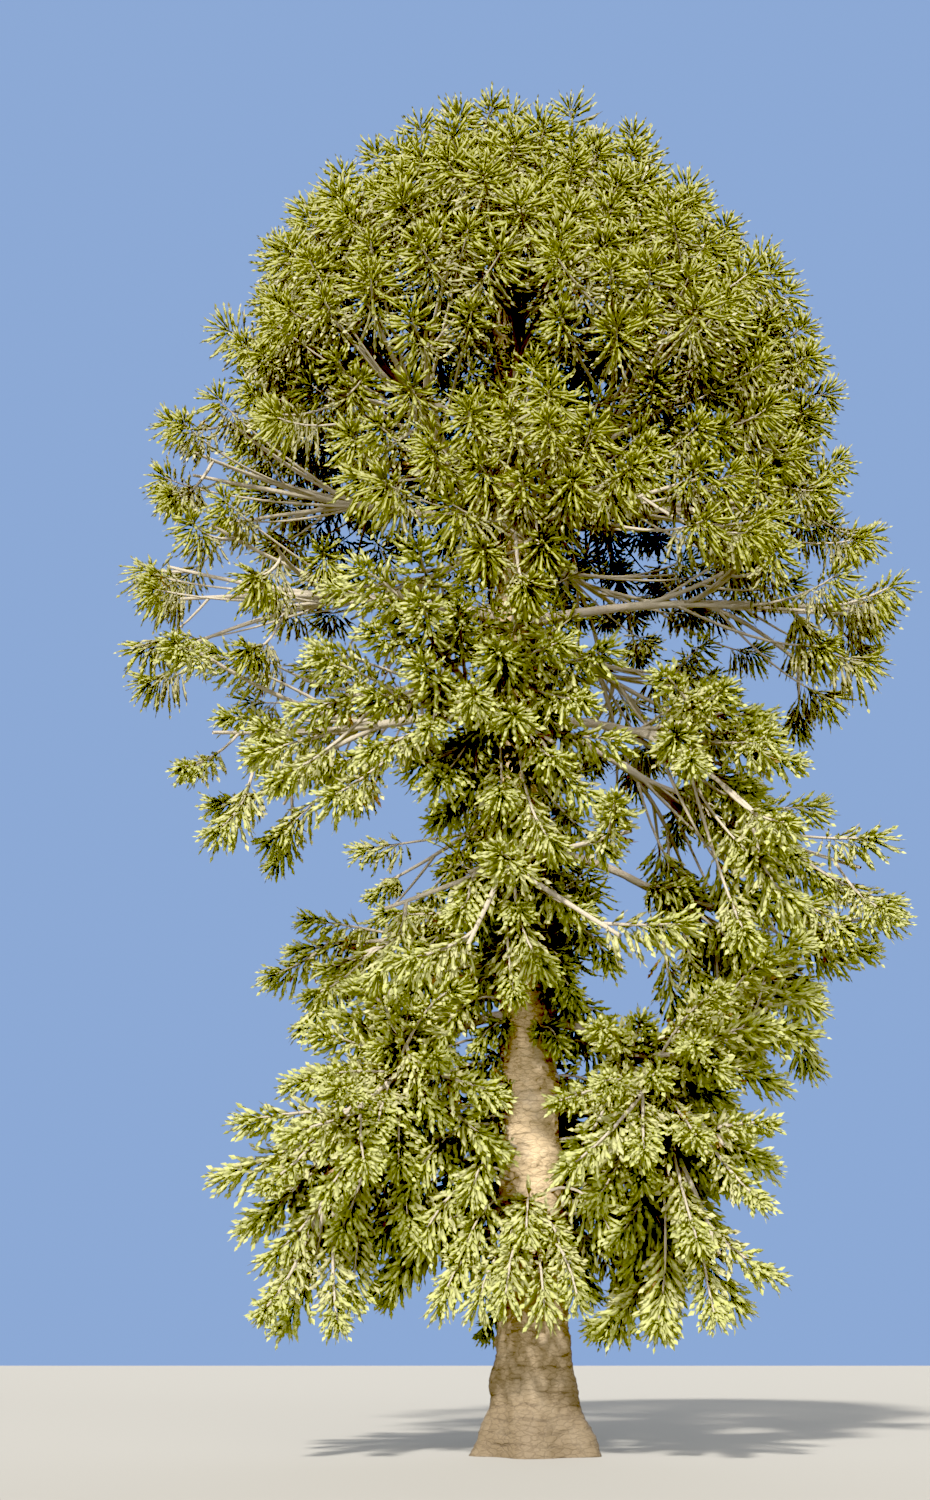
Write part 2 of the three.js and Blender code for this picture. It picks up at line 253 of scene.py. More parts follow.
def makeBarkGroup():  # flaky plates, level ring cracks and lichen, with painted shade in the cracks and plate gaps and a painted darker foot
    group, given, made = newGroup("barkPattern", barks["limbBark"])
    place = stretchedPlace(group)
    flat = stretchedPlace(group, barkPattern["flatness"])

    warp = addNoise(group, flat, barkPattern["warp"])["Color"]
    depth = (barkPattern["warpDepth"],) * 3
    warped = addMath(group, "MULTIPLY_ADD", warp, depth, flat, kind="ShaderNodeVectorMath")
    plates = addNode(group, "ShaderNodeTexVoronoi", {"feature": "DISTANCE_TO_EDGE"},
                     Vector=warped, Scale=given["Plate Scale"])
    plateEdge = addRange(group, plates.outputs["Distance"], 0.0, barkPattern["plateGap"])
    plateGap = addMath(group, "SUBTRACT", 1.0, plateEdge)
    plateDepth = addMath(group, "MULTIPLY", plateGap, given["Plate Depth"])

    waves = addNode(group, "ShaderNodeTexWave", {"bands_direction": "Z"},
                    Vector=place, **barkPattern["rings"])
    ringLine = addRange(group, waves.outputs["Fac"], *barkPattern["ringLine"])
    breaks = addRange(group, addNoise(group, flat, barkPattern["breaks"])["Fac"], *barkPattern["breakRange"])
    ringCrack = addMath(group, "MULTIPLY", ringLine, breaks)
    ringDepth = addMath(group, "MULTIPLY", ringCrack, given["Ring Depth"])

    grain = addNoise(group, flat, barkPattern["grain"])["Fac"]
    height = addMath(group, "SUBTRACT", addMath(group, "SUBTRACT", 1.0, plateDepth), ringDepth)
    height = addMath(group, "ADD", height, addMath(group, "MULTIPLY", grain, barkPattern["grainHeight"]))

    # painted shade: the tone follows the relief, so plate gaps and ring cracks come out darker
    paintedCrackShade = addRange(group, height, *barkPattern["paintedCrackShade"])
    tone = addMath(group, "MULTIPLY", paintedCrackShade, addRange(group, grain, *barkPattern["grainTone"]))
    above = addNode(group, "ShaderNodeSeparateXYZ", Vector=place).outputs["Z"]
    # painted light: the bark is darker at the foot and lighter above it, standing in for sunlight on the
    # middle trunk; lichen only above the foot
    paintedLightShare = addRange(group, above, *barkPattern["paintedFootHeights"], given["Painted Foot Tone"])
    bare = addMix(group, addMath(group, "MULTIPLY", tone, paintedLightShare), given["Grain And Crack Shade"], given["Light"])
    patch = addRange(group, addNoise(group, place, barkPattern["patch"])["Fac"], *barkPattern["patchRange"])
    lichen = addMath(group, "MULTIPLY", addMath(group, "MULTIPLY", patch, given["Lichen Amount"]), paintedLightShare)
    feed(group, made["Color"], addMix(group, lichen, bare, given["Lichen"]))
    feed(group, made["Roughness"], addRange(group, height, *barkPattern["roughness"]))
    feed(group, made["Height"], height)
    return group


leafPattern = {
    "patch": {"Scale": 1.1, "Detail": 2.0},   # uneven from limb to limb
    "speck": {"Scale": 26.0, "Detail": 3.0},  # and from leaf to leaf
    "tintRange": (0.72, 1.3),
    "roughness": (0.3, 0.7, 0.42, 0.6),
}


def makeLeafGroup():
    group, given, made = newGroup("leafTint", leafTints["fresh"])
    place = stretchedPlace(group)
    patch = addNoise(group, place, leafPattern["patch"])["Fac"]
    speck = addNoise(group, place, leafPattern["speck"])["Fac"]
    share = addRange(group, addMath(group, "ADD", patch, speck), *leafPattern["tintRange"])
    feed(group, made["Color"], addMix(group, share, given["Deep"], given["Leaf"]))
    feed(group, made["Roughness"], addRange(group, speck, *leafPattern["roughness"]))
    feed(group, made["Height"], speck)
    return group


makeCamera()
makeLight()
makeFloor()
print("camera, light and floor: done")

# Dark is the colour of painted shade in the bark's cracks and plate gaps, and of the darker grain
barks = {
    "trunkBark": {
        # the trunk's Light is painted lighter than its foot, for sun on its middle; the foot tone takes the
        # foot back down
        "Light": (0.42, 0.285, 0.14, 1), "Grain And Crack Shade": (0.014, 0.008, 0.004, 1), "Lichen": (0.36, 0.275, 0.17, 1),
        "Plate Scale": 5.0, "Plate Depth": 0.5, "Ring Depth": 0.5, "Lichen Amount": 0.45, "Painted Foot Tone": 0.14,
    },
    "limbBark": {
        "Light": (0.40, 0.33, 0.24, 1), "Grain And Crack Shade": (0.13, 0.10, 0.066, 1), "Lichen": (0.38, 0.34, 0.27, 1),
        "Plate Scale": 14.0, "Plate Depth": 0.6, "Ring Depth": 0.15, "Lichen Amount": 0.5, "Painted Foot Tone": 1.0,
    },
    "twigBark": {
        "Light": (0.38, 0.32, 0.225, 1), "Grain And Crack Shade": (0.12, 0.10, 0.055, 1), "Lichen": (0.33, 0.29, 0.21, 1),
        "Plate Scale": 30.0, "Plate Depth": 0.6, "Ring Depth": 0.0, "Lichen Amount": 0.4, "Painted Foot Tone": 1.0,
    },
    "domeTwigBark": {
        "Light": (0.15, 0.12, 0.06, 1), "Grain And Crack Shade": (0.05, 0.042, 0.02, 1), "Lichen": (0.16, 0.14, 0.09, 1),
        "Plate Scale": 30.0, "Plate Depth": 0.6, "Ring Depth": 0.0, "Lichen Amount": 0.3, "Painted Foot Tone": 1.0,
    },
}
barkFinish = {"bump": 0.7, "bumpDistance": 0.02, "specular": 0.25}

leafTints = {
    # paler leaves near the ends of older ropes: a painted highlight where the sun catches the rope ends
    "glintTip": {"Leaf": (0.23, 0.212, 0.1, 1), "Deep": (0.19, 0.176, 0.078, 1)},
    "fresh": {"Leaf": (0.166, 0.168, 0.026, 1), "Deep": (0.134, 0.138, 0.022, 1)},
    "mature": {"Leaf": (0.2, 0.192, 0.06, 1), "Deep": (0.156, 0.152, 0.05, 1)},
    "old": {"Leaf": (0.17, 0.156, 0.063, 1), "Deep": (0.115, 0.106, 0.042, 1)},
    "dead": {"Leaf": (0.2, 0.10, 0.035, 1), "Deep": (0.11, 0.055, 0.02, 1)},
    # painted light: lighter copies of fresh and mature for the lowest limbs, for the light that reaches them
    "litLowFresh": {"Leaf": (0.222, 0.236, 0.05, 1), "Deep": (0.184, 0.198, 0.044, 1)},
    "litLowMature": {"Leaf": (0.27, 0.26, 0.09, 1), "Deep": (0.212, 0.207, 0.074, 1)},
}
stemTints = {
    "young": {"Leaf": (0.155, 0.156, 0.032, 1), "Deep": (0.124, 0.126, 0.026, 1)},
    "old": {"Leaf": (0.145, 0.134, 0.056, 1), "Deep": (0.095, 0.089, 0.038, 1)},
    # low: lighter stems for the lowest limbs, painted light like their leaves
    "low": {"Leaf": (0.22, 0.226, 0.068, 1), "Deep": (0.182, 0.187, 0.055, 1)},
}
leafFinish = {
    "bump": 0.3,
    "bumpDistance": 0.004,
    "specular": 0.17,
    "pale": (0.23, 0.225, 0.115, 1),
    # how far a leaf's back goes to pale
    "undersides": {"glintTip": 0.2, "fresh": 0.25, "mature": 0.3, "old": 0.3, "dead": 0.1, "litLowFresh": 0.2,
                   "litLowMature": 0.2},
}


barkGroup = makeBarkGroup()
leafGroup = makeLeafGroup()


def makeMaterial(name, group, values, finish, underside=0.0):
    material = bpy.data.materials.new(name)
    material.use_nodes = True
    tree = material.node_tree
    pattern = addNode(tree, "ShaderNodeGroup", {"node_tree": group}, **values).outputs
    bump = addNode(tree, "ShaderNodeBump", Height=pattern["Height"],
                   Strength=finish["bump"], Distance=finish["bumpDistance"])
    colour = pattern["Color"]
    if underside:
        back = addNode(tree, "ShaderNodeNewGeometry").outputs["Backfacing"]
        colour = addMix(tree, addMath(tree, "MULTIPLY", back, underside), colour, finish["pale"])
    shader = tree.nodes["Principled BSDF"].inputs
    feed(tree, shader["Base Color"], colour)
    feed(tree, shader["Normal"], bump.outputs["Normal"])
    feed(tree, shader["Roughness"], pattern["Roughness"])
    feed(tree, shader["Specular IOR Level"], finish["specular"])
    return material


barkMaterials = {name: makeMaterial(name, barkGroup, values, barkFinish) for name, values in barks.items()}
leafMaterials = {kind: makeMaterial(f"{kind}Leaf", leafGroup, leafTints[kind], leafFinish, underside)
                 for kind, underside in leafFinish["undersides"].items()}
stemMaterials = {kind: makeMaterial(f"{kind}Stem", leafGroup, tint, leafFinish)
                 for kind, tint in stemTints.items()}
print("materials: done")


# the tree's layout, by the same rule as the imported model

trunk = {
    "height": 28.2,
    "lean": -0.5,
    "column": 0.6,
    "tip": 0.06,
    "fullness": 0.7,
    "flare": 0.48,
    "flareHeight": 0.9,
    "roots": 5,
    "rootDepth": 0.3,
    "rootTurn": -0.5,
}
bough = {"rootRadius": 0.15, "forkRadius": 0.085, "stagger": 0.5, "overlap": 0.02}
shoot = {"rootRadius": 0.055, "neckRadius": 0.035, "forward": 0.42, "parting": 0.5,
         "firstAt": 0.05, "lastAt": 0.3}
spacing = {"least": 2.3, "rounds": 12, "step": 0.25, "inwardFrom": 0.2, "unevenness": 0.04}
tipInset = 0.495     # shoots end this far inside the crown's outline
seatGap = 0.0003
forkShare = 0.3

# height, reach to the left and reach to the right
crownOutline = np.array([
    (1.5, 5.8, 4.4), (3.2, 6.7, 5.6), (6.4, 6.2, 6.2), (9.4, 6.4, 8.3), (11.0, 7.4, 8.9),
    (13.2, 8.6, 6.6), (14.6, 9.2, 6.6), (16.0, 9.6, 8.9), (17.8, 9.8, 9.1), (20.6, 9.3, 8.0),
    (24.0, 7.9, 7.6), (26.8, 6.2, 6.3), (28.8, 4.2, 4.4), (30.6, 1.6, 1.8),
])

# A stemmed ring's limbs belong to its masses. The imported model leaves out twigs, the number on each shoot,
# twigsAt, the masses with another number, and leafyFrom, the share of a shoot where its inmost twig ends.
rings = [
    {"name": "crest", "root": 25.0, "middle": 27.4, "lift": 1.6, "depth": 0.75, "girth": 0.6,
     "bow": -0.5, "hang": 0.1, "fan": 40, "shoots": 5, "turns": [-132, -42, 48, 138], "stemmed": True,
     "twigs": 6, "leafyFrom": 1.0},
    {"name": "shoulder", "root": 22.0, "middle": 24.2, "lift": 2.1, "depth": 0.75, "girth": 0.8,
     "bow": -0.4, "hang": 0.2, "fan": 34, "shoots": 6, "turns": [-88, -16, 56, 128, 200],
     "twigs": 7, "leafyFrom": 1.0},
    {"name": "upper", "root": 19.4, "middle": 20.7, "lift": 2.0, "depth": 0.7, "girth": 1,
     "bow": -0.1, "hang": 0.35, "fan": 29, "shoots": 6, "turns": [-120, -58, 2, 62, 122, 182],
     "twigs": 3, "twigsAt": {1: 5, 4: 2, 5: 2}, "leafyFrom": 0.95},
    {"name": "middle", "root": 16.8, "middle": 17.0, "lift": 2.0, "depth": 0.6, "girth": 1,
     "bow": 0.2, "hang": 0.5, "fan": 34, "shoots": 6, "turns": [-86, -16, 52, 124, 198],
     "twigs": 3, "twigsAt": {0: 6, 3: 2, 4: 2}, "leafyFrom": 0.95},
    {"name": "lower", "root": 14.2, "middle": 12.4, "lift": 1.9, "tilt": -1, "depth": 0.5, "girth": 1,
     "bow": 0.6, "hang": 0.6, "fan": 34, "shoots": 6, "turns": [-104, -39, 20, 98, 190],
     "twigs": 4, "twigsAt": {0: 7, 4: 2}, "leafyFrom": 0.8},
    {"name": "apron", "root": 11.2, "middle": 9.0, "lift": 1.5, "depth": 0.5, "girth": 0.9,
     "bow": 0.7, "hang": 0.6, "fan": 42, "shoots": 6, "turns": [-100, 8, 135],
     "twigs": 5, "twigsAt": {0: 2}, "leafyFrom": 0.45},
    {"name": "skirt", "root": 7.8, "middle": 4.9, "lift": 3.1, "depth": 0.5, "girth": 0.9,
     "bow": 0.9, "hang": 0.65, "fan": 48, "shoots": 8, "turns": [-36, 84, 200],
     "twigs": 8, "leafyFrom": 0.35},
]
top = {"name": "top", "height": 29.6, "reach": 1.7, "fall": 1.1, "hang": 0.05, "shoots": 6, "twigs": 3,
       "leafyFrom": 1.0}
fullestHang = 0.65


def droopOf(ring):  # about 0.1 in the dome and 1 in the lowest skirt
    return ring["hang"] / fullestHang


def byDroop(values, droop):  # between the dome's value, the widest limbs' and the lowest skirt's
    return np.interp(droop, (0.1, 0.77, 1.0), values)


def trunkAxis(height):
    height = np.asarray(height, float)
    side = trunk["lean"] * (height / trunk["height"]) ** 2
    return np.stack([side, np.zeros_like(height), height], axis=-1)


def trunkRadius(height, around):
    left = np.clip(1 - height / trunk["height"], 0, None)
    column = trunk["tip"] + trunk["column"] * left ** trunk["fullness"]
    lobes = 1 + trunk["rootDepth"] * np.cos(trunk["roots"] * (around - trunk["rootTurn"]))
    return column + trunk["flare"] * np.exp(-height / trunk["flareHeight"]) * lobes


def crownReach(height, turn):
    left = np.interp(height, crownOutline[:, 0], crownOutline[:, 1])
    right = np.interp(height, crownOutline[:, 0], crownOutline[:, 2])
    return lerp(left, right, 0.5 + 0.5 * np.cos(np.radians(turn)))


def crownPoint(height, turn, share):
    turn = np.radians(turn)
    reach = (crownReach(height, np.degrees(turn)) - tipInset) * share
    return np.stack([reach * np.cos(turn), reach * np.sin(turn), height + 0 * reach], axis=-1)


def shootTo(tip, start, direction, parting):
    length = np.linalg.norm(tip - start)
    aim = lerp(direction, unit(tip - start), parting)
    return start, start + aim * length * shoot["forward"], tip


def planShoots(start, heading, rootRadius, tips):
    leading = shootTo(tips[0], start, heading, 0)
    planned = [{"line": leading, "radius": rootRadius}]
    for i, tip in enumerate(tips[1:]):
        at = lerp(shoot["firstAt"], shoot["lastAt"], i / (len(tips) - 2))
        line = shootTo(tip, onCurve(leading, at), curveHeading(leading, at), shoot["parting"])
        planned.append({"line": line, "radius": shoot["rootRadius"]})
    return planned


def planTips(ring, place, seed):  # each shoot's end: height, bearing and share of the crown's reach
    draw = randomStream(seed)
    uneven = spacing["unevenness"]
    turn = ring["turns"][place]
    middle = ring["middle"] + ring.get("tilt", 0) * math.cos(math.radians(turn))
    tips = []
    for i in range(ring["shoots"]):
        angle = i * goldenAngle + seed
        spread = math.sqrt((i + 0.5) / ring["shoots"])
        inward = ((spacing["inwardFrom"] + i * goldenShare) % 1) ** 2
        share = lerp(1, ring["depth"], inward) * (1 - uneven + uneven * draw())
        height = middle + ring["lift"] * spread * math.sin(angle)
        tips.append((height, turn + ring["fan"] * spread * math.cos(angle), share))
    return tips


def pushApart(points, least, step):  # how far each point moves away from those nearer than least
    apart = points[:, None] - points
    gap = np.linalg.norm(apart, axis=-1) + 1e-6
    push = np.clip(least - gap, 0, None) / gap * step
    return (apart * push[..., None]).sum(1)


def spreadTips(tips):
    for _ in range(spacing["rounds"]):
        points = crownPoint(*tips.T)
        move = pushApart(points, spacing["least"], spacing["step"])
        reach = np.hypot(points[:, 0], points[:, 1])
        tips[:, 0] += move[:, 2]
        tips[:, 1] += np.degrees((move[:, 1] * points[:, 0] - move[:, 0] * points[:, 1]) / reach ** 2)
    return crownPoint(*tips.T)


def planLimb(ring, place, seed, tips):
    turn, count = ring["turns"][place], len(ring["turns"])
    root = trunkAxis(ring["root"] + bough["stagger"] * (place * 2 % count) / count)
    middle = ring["middle"] + ring.get("tilt", 0) * math.cos(math.radians(turn))
    fork = lerp(root, crownPoint(middle, turn, 1), forkShare) + up * ring["bow"] * 0.5
    curve = (root, lerp(root, fork, 0.5) + up * ring["bow"] * 0.5, fork)
    heading = curveHeading(curve, 1)
    start = fork + heading * (-bough["overlap"] if ring.get("stemmed") else seatGap)
    shoots = planShoots(start, heading, bough["forkRadius"] * ring["girth"], tips)
    return {"ring": ring, "node": f"{ring['name']}_{place + 1}", "seed": seed, "curve": curve,
            "shoots": shoots, "twigs": ring.get("twigsAt", {}).get(place, ring["twigs"])}


def planTop(seed):
    start = trunkAxis(trunk["height"]) + up * seatGap
    tips = []
    for i in range(top["shoots"]):
        share = math.sqrt(i / (top["shoots"] - 1))
        side = trunkAxis(trunk["height"]) + bearing(math.degrees(i * goldenAngle)) * share * top["reach"]
        tips.append(np.array([side[0], side[1], top["height"] - top["fall"] * share]))
    shoots = planShoots(start, up, trunk["tip"], tips)
    return {"ring": top, "node": "top", "seed": seed, "curve": None, "shoots": shoots, "twigs": top["twigs"]}


def planTree():
    places = [(ring, place, 10 * level + place)
              for level, ring in enumerate(rings) for place in range(len(ring["turns"]))]
    tips = spreadTips(np.array([tip for where in places for tip in planTips(*where)]))
    planned, first = [], 0
    for ring, place, seed in places:
        planned.append(planLimb(ring, place, seed, tips[first:first + ring["shoots"]]))
        first += ring["shoots"]
    return [*planned, planTop(90)]


def membersOf(ring):
    return [plan for plan in plans if plan["ring"] is ring]


def nodesOf(ring, kind="foliage"):
    return [f"{kind}_{plan['node']}" for plan in membersOf(ring)]


plans = planTree()
print("layout:", len(plans), "masses,", sum(len(plan["shoots"]) for plan in plans), "shoots")


# joined meshes from arrays

def makePiece(name, points, faces, material, slotName, nodes, smooth=False):
    mesh = bpy.data.meshes.new(name)
    corners = faces.shape[1]
    mesh.vertices.add(len(points))
    mesh.vertices.foreach_set("co", points.astype(np.float32).ravel())
    mesh.loops.add(faces.size)
    mesh.loops.foreach_set("vertex_index", faces.astype(np.int32).ravel())
    mesh.polygons.add(len(faces))
    mesh.polygons.foreach_set("loop_start", np.arange(0, faces.size, corners, dtype=np.int32))
    mesh.polygons.foreach_set("use_smooth", np.full(len(faces), smooth))
    mesh.update(calc_edges=True)
    mesh.materials.append(material)
    piece = newObject(name, mesh)
    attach(piece, "root")
    if nodes:
        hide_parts(*nodes)


def joined(parts):  # one pair of arrays from several
    offset, points, faces = 0, [], []
    for somePoints, someFaces in parts:
        points.append(somePoints)
        faces.append(someFaces + offset)
        offset += len(somePoints)
    return np.concatenate(points), np.concatenate(faces)


def ringFaces(steps, sides):  # quads between neighbouring rings of points
    step, side = np.meshgrid(np.arange(steps - 1), np.arange(sides), indexing="ij")
    after = (side + 1) % sides
    here, onward = step * sides, (step + 1) * sides
    return np.stack([here + side, here + after, onward + after, onward + side], -1).reshape(-1, 4)


def acrossCurve(line):  # square to the plane that the curve lies in
    bend = np.cross(line[1] - line[0], line[2] - line[1])
    chord = line[2] - line[0]
    straight = np.linalg.norm(bend) < 1e-3 * chord @ chord
    return unit(np.cross(chord, [1, 0.3, 0.2])) if straight else unit(bend)


def limbTube(line, shares, radii, sides, random, unevenness):
    centre, heading = onCurve(line, shares), curveHeading(line, shares)
    across = acrossCurve(line)
    lift = np.cross(across, heading)
    around = evenTurns(sides)[:, None]
    girth = radii[:, None] * (1 + unevenness * random.uniform(-1, 1, (len(shares), sides)))
    points = centre[:, None] + girth[..., None] * (across * np.cos(around) + lift[:, None] * np.sin(around))
    return points.reshape(-1, 3), ringFaces(len(shares), sides)


# trunk

trunkSkin = {
    "rows": 300,
    "columns": 96,
    "bareTo": 9.0,        # up to this height the rows are closer
    "bareShare": 0.7,     # and this share of them is there
    "ringHeight": 0.21,   # between two level cracks
    "ringDepth": 0.026,
    "ringWander": 0.9,    # how far a crack strays from level, against ringHeight
    "wanderSize": 1.3,
    "ringBreak": 0.9,     # how uneven a crack's depth is
    "breakSize": 0.45,
    "crackShape": 0.35,   # below 1 the cracks are narrower than the bark between them
    "crackLevel": 0.75,
    "plateDepth": 0.009,
    "plateSize": 0.16,
    "plateFlatness": 1.8,
    "lumpDepth": 0.035,
    "lumpSize": 0.9,
    "scars": 110,         # collars of shed limbs
    "scarHeights": (0.9, 24),
    "scarDepth": 0.035,
    "scarSize": 0.12,
    "scarFlatness": 1.3,
    "scarRim": 1.6,       # the rim's rise and the hollow's depth, against scarDepth
    "scarHollow": 0.7,
    "fullFrom": 0.5,      # a trunk thinner than this has less relief, but not below leastRelief
    "leastRelief": 0.15,
    "seed": 4,
}


def ripple(points, size, random, waves=14):  # smooth repeatable noise, about -1 to 1
    turns = random.normal(size=(waves, 3)) * 2 * math.pi / size / 1.6
    phases = random.uniform(0, 2 * math.pi, waves)
    return np.sin(points @ turns.T + phases).sum(-1) / math.sqrt(waves) * 1.1


def barkRelief(place, height, random):  # lumps, plates and level cracks
    skin = trunkSkin
    lumps = ripple(place, skin["lumpSize"], random)
    plates = ripple(place * [1, 1, skin["plateFlatness"]], skin["plateSize"], random, 20)
    level = height / skin["ringHeight"] + skin["ringWander"] * ripple(place, skin["wanderSize"], random)
    uneven = 1 + skin["ringBreak"] * ripple(place, skin["breakSize"], random, 20)
    cracks = (np.abs(np.sin(math.pi * level)) ** skin["crackShape"] - skin["crackLevel"]) * uneven
    return skin["lumpDepth"] * lumps + skin["plateDepth"] * plates + skin["ringDepth"] * cracks


def scarRelief(height, turn, radius, random):  # a raised rim round a hollow for each shed limb
    skin = trunkSkin
    scarTurns = random.uniform(0, 2 * math.pi, skin["scars"])
    scarHeights = random.uniform(*skin["scarHeights"], skin["scars"])
    relief = 0 * height
    for scarTurn, scarHeight in zip(scarTurns, scarHeights):
        apart = (turn - scarTurn + math.pi) % (2 * math.pi) - math.pi
        off = np.hypot(apart * radius, (height - scarHeight) * skin["scarFlatness"]) / skin["scarSize"]
        rim, hollow = np.exp(-((off - 0.75) * 2.4) ** 2), np.exp(-(off * 2.2) ** 2)
        relief += skin["scarRim"] * rim - skin["scarHollow"] * hollow
    return relief * skin["scarDepth"]


def makeTrunk():
    random = np.random.default_rng(trunkSkin["seed"])
    rows = np.interp(np.linspace(0, 1, trunkSkin["rows"]), (0, trunkSkin["bareShare"], 1),
                     (0, trunkSkin["bareTo"], trunk["height"]))
    height, turn = np.meshgrid(rows, evenTurns(trunkSkin["columns"]), indexing="ij")
    radius = trunkRadius(height, turn)
    outward = np.stack([np.cos(turn), np.sin(turn), np.zeros_like(turn)], -1)
    place = outward * radius[..., None] + height[..., None] * up
    relief = barkRelief(place, height, random) + scarRelief(height, turn, radius, random)
    thin = np.clip(radius / trunkSkin["fullFrom"], trunkSkin["leastRelief"], 1)
    points = outward * (radius + relief * thin)[..., None] + trunkAxis(height)
    points[0, :, 2] = 0
    faces = ringFaces(trunkSkin["rows"], trunkSkin["columns"])
    bark = barkMaterials["trunkBark"]
    makePiece("trunk_bark", points.reshape(-1, 3), faces, bark, "bark", ["trunk"], smooth=True)


makeTrunk()
print("trunk: done")


# boughs, one piece for each ring

boughSkin = {"steps": 16, "sides": 12, "collar": 0.6, "collarLength": 0.12, "unevenness": 0.06, "seed": 11}


def makeBoughs(ring):
    random = np.random.default_rng(boughSkin["seed"])
    shares = np.linspace(0, 1, boughSkin["steps"])
    taper = lerp(bough["rootRadius"], bough["forkRadius"], shares) * ring["girth"]
    radii = taper * (1 + boughSkin["collar"] * np.exp(-shares / boughSkin["collarLength"]))
    parts = [limbTube(plan["curve"], shares, radii, boughSkin["sides"], random, boughSkin["unevenness"])
             for plan in membersOf(ring)]
    nodes = nodesOf(ring, "foliage" if ring.get("stemmed") else "bough")
    bark = barkMaterials["limbBark"]
    makePiece(f"boughs_{ring['name']}", *joined(parts), bark, "bough_bark", nodes, smooth=True)


for ring in rings:
    makeBoughs(ring)
print("boughs: done")


# shoots and the finer twigs that they part into, one piece for each ring

# where there are three values, they are for the dome, for the widest limbs and for the lowest skirt
twig = {
    "firstAt": 0.14,              # where the twigs leave a shoot, as shares of its length
    "lastAt": 0.75,
    "crowding": 1.6,              # above 1 the twigs' tips are closer towards the shoot's tip
    "parting": 0.6,
    "spread": (1.25, 1.0, 1.2),   # how far from the shoot's tip the outmost twig ends
    "setBack": (1.5, 1.1, 0.4),   # how far a twig may end behind the shoot's tip
    "least": (1.55, 1.05, 1.25),  # twigs' tips nearer to each other than this move apart
    "rounds": 20,
    "step": 0.22,
    "turnIn": (0.75, 0.65, 0.6),  # how soon a twig takes the heading of its tip
    "turnShare": 0.45,            # over this share of its length
    "turnLength": 2.2,            # and of this length at most
    "tipRise": (70, 30, -24),     # degrees above the level of that heading
    "rootRadius": 0.042,
    "tipRadius": 0.018,
    "unevenness": 0.1,
    "fall": (0.0, 0.0, 1.1),      # how far a twig's tip may end below its place on the shoot
    "lowest": 2.2,                # no tip is nearer to the ground
    "highest": 29.5,
    "inset": 0.5,                 # tips stay this far inside the crown's reach
    "crownMiddle": 15,            # height that the crown's surface faces away from
    "crownSteepness": 0.3,
    "shootLength": 0.85,          # share of a shoot that is drawn, up to its last twigs
    "shootGirth": 1.2,
    "shootUnevenness": 0.08,
    "shootSteps": 14,
    "shootSides": 8,
    "steps": 8,
    "sides": 4,
    "paleFrom": 0.3,              # rings that hang less have darker twigs
    "seed": 23,
}


def keepInside(points):  # within the crown's reach and off the ground
    points[:, 2] = np.clip(points[:, 2], twig["lowest"], twig["highest"])
    reach = np.hypot(points[:, 0], points[:, 1])
    turn = np.degrees(np.arctan2(points[:, 1], points[:, 0]))
    limit = crownReach(points[:, 2], turn) - twig["inset"]
    points[:, :2] *= np.minimum(1, limit / reach)[:, None]
    return points


def crownNormal(points):  # away from the crown's rounded surface
    steepness = twig["crownSteepness"]
    return unit(points * [1, 1, steepness] - up * steepness * twig["crownMiddle"])


def planTwigTips(random):  # the tips of all the twigs, spread over the crown by the same rule as the shoots
    tips, least = [], []
    for plan in plans:
        count = plan["twigs"]
        droop = droopOf(plan["ring"])
        values = (byDroop(twig[name], droop) for name in ("spread", "setBack", "least", "fall"))
        spread, setBack, apart, fall = values
        shares = 1 - (1 - plan["ring"]["leafyFrom"]) * np.linspace(1, 0, count) ** twig["crowding"]
        for shootPlan in plan["shoots"]:
            places = onCurve(shootPlan["line"], shares)
            normal = crownNormal(places[-1])
            side = unit(np.cross(normal, up + 1e-3))
            lift = np.cross(side, normal)
            phase = random.uniform(0, 2 * math.pi)
            for k in range(count):
                off = spread * math.sqrt((k + 0.5) * goldenShare % 1)
                angle = k * goldenAngle + phase
                back = setBack * random.uniform(0, 1) ** 2
                least.append(apart)
                place = places[k] + off * (side * math.cos(angle) + lift * math.sin(angle))
                tips.append(place - normal * back - up * fall * ((k + plan["seed"]) * goldenShare % 1))
    tips = keepInside(np.array(tips))
    for _ in range(twig["rounds"]):
        move = pushApart(tips, np.array(least)[:, None], twig["step"])
        normal = crownNormal(tips)
        tips = keepInside(tips + move - normal * (move * normal).sum(-1, keepdims=True))
    return tips


